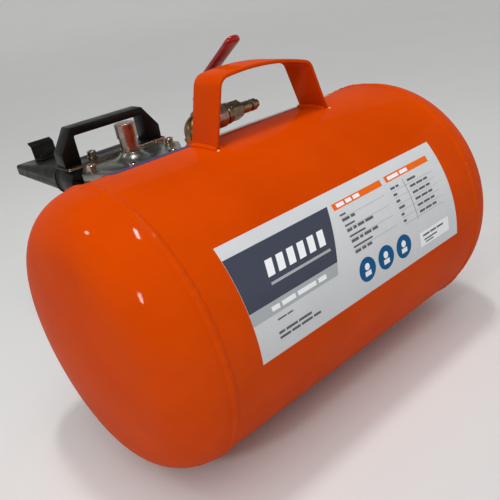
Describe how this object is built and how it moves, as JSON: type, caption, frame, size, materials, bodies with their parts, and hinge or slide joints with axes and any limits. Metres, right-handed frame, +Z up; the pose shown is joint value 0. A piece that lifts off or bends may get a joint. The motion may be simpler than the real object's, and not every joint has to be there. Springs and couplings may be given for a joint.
{
  "type": "bead seater blaster tank",
  "caption": "Portable air tank with carry handle, fill line with ball valve, and a quick-release diaphragm valve blowing through a flat nozzle to seat tyre beads.",
  "frame": {"origin": "on the floor, under the middle of the overall footprint", "axes": "+X along the tank axis, +Y towards the nozzle, +Z up"},
  "size_m": [0.4382, 0.4899, 0.3354],
  "materials": {
    "orange_paint": "gloss powder coat",
    "foot_rubber": "matt",
    "plated_steel": "zinc plated",
    "cast_aluminium": "as cast, tumbled",
    "seal_rubber": "matt",
    "white_nylon": "matt",
    "nickel": "nickel plate",
    "black_coat": "semi-gloss powder coat",
    "brass": "turned",
    "red_vinyl": "dipped vinyl",
    "gauge_face": "printed white",
    "needle_black": "matt",
    "clear_lens": "clear",
    "label_vinyl": "printed sheet"
  },
  "bodies": {
    "tank": {"air_plug": "brass", "ball_seats": "white_nylon", "ball_valve_body": "nickel", "ball_valve_tailpiece": "nickel", "button_housing": "nickel", "button_spring": "plated_steel", "carry_handle": "orange_paint", "cover_bolts": "plated_steel", "diaphragm_rim": "seal_rubber", "diaphragm_spring": "plated_steel", "drain_plug": "plated_steel", "duct_gasket": "seal_rubber", "flange_nuts": "plated_steel", "foot_left": "orange_paint", "foot_pads": "foot_rubber", "foot_right": "orange_paint", "gauge_bezel": "black_coat", "gauge_case": "black_coat", "gauge_dial": "gauge_face", "gauge_lens": "clear_lens", "gauge_stem": "brass", "grip_bolts": "plated_steel", "grip_handle": "black_coat", "grip_plate": "black_coat", "handle_welds": "orange_paint", "head_left": "orange_paint", "head_right": "orange_paint", "head_seam_welds": "orange_paint", "hex_adapter": "brass", "hook_screws": "black_coat", "inlet_bung": "orange_paint", "inlet_elbow": "brass", "label_front": "label_vinyl", "label_rear": "label_vinyl", "nozzle": "black_coat", "outlet_bung": "orange_paint", "outlet_elbow": "black_coat", "outlet_nipple": "plated_steel", "relief_body": "brass", "relief_elbow": "brass", "relief_spring": "plated_steel", "rim_hook": "black_coat", "service_bungs": "orange_paint", "tank_shell": "orange_paint", "valve_body": "cast_aluminium", "valve_cover": "cast_aluminium", "valve_seat": "white_nylon"},
    "lever": {"lever_plate": "plated_steel", "lever_sleeve": "red_vinyl", "valve_stem": "nickel", "valve_ball": "nickel", "stem_nut": "plated_steel"},
    "release_button": {"release_button": "nickel", "button_stem": "nickel", "pilot_seal": "seal_rubber"},
    "diaphragm": {"diaphragm_disc": "seal_rubber", "diaphragm_plate": "plated_steel"},
    "gauge_pointer": {"gauge_needle": "needle_black"},
    "relief_pull": {"relief_stem": "brass", "relief_ring": "plated_steel"}
  },
  "joints": [
    {"name": "lever_turn", "type": "hinge", "parent": "tank", "child": "lever", "pos_m": [0.01, -0.0335, 0.28136], "axis": [0, 0.5, 0.866], "range_deg": [0, 90]},
    {"name": "button_press", "type": "slide", "parent": "tank", "child": "release_button", "axis": [0, 0, -1], "range_m": [0, 0.004], "stiffness_N_per_m": 2000, "springref_m": -0.003, "deforming": ["button_spring"]},
    {"name": "diaphragm_lift", "type": "slide", "parent": "tank", "child": "diaphragm", "axis": [0, 0, 1], "range_m": [0, 0.003], "stiffness_N_per_m": 600, "springref_m": -0.01, "deforming": ["diaphragm_spring"]},
    {"name": "needle_sweep", "type": "hinge", "parent": "tank", "child": "gauge_pointer", "pos_m": [0.07, 0.04138, 0.17771], "axis": [0, -0.9659, -0.2588], "range_deg": [0, 270], "stiffness_Nm_per_rad": 0.0001, "springref_deg": -28.65},
    {"name": "relief_lift", "type": "slide", "parent": "tank", "child": "relief_pull", "axis": [0, 0, 1], "range_m": [0, 0.0025], "stiffness_N_per_m": 4000, "springref_m": -0.004, "deforming": ["relief_spring"]}
  ]
}
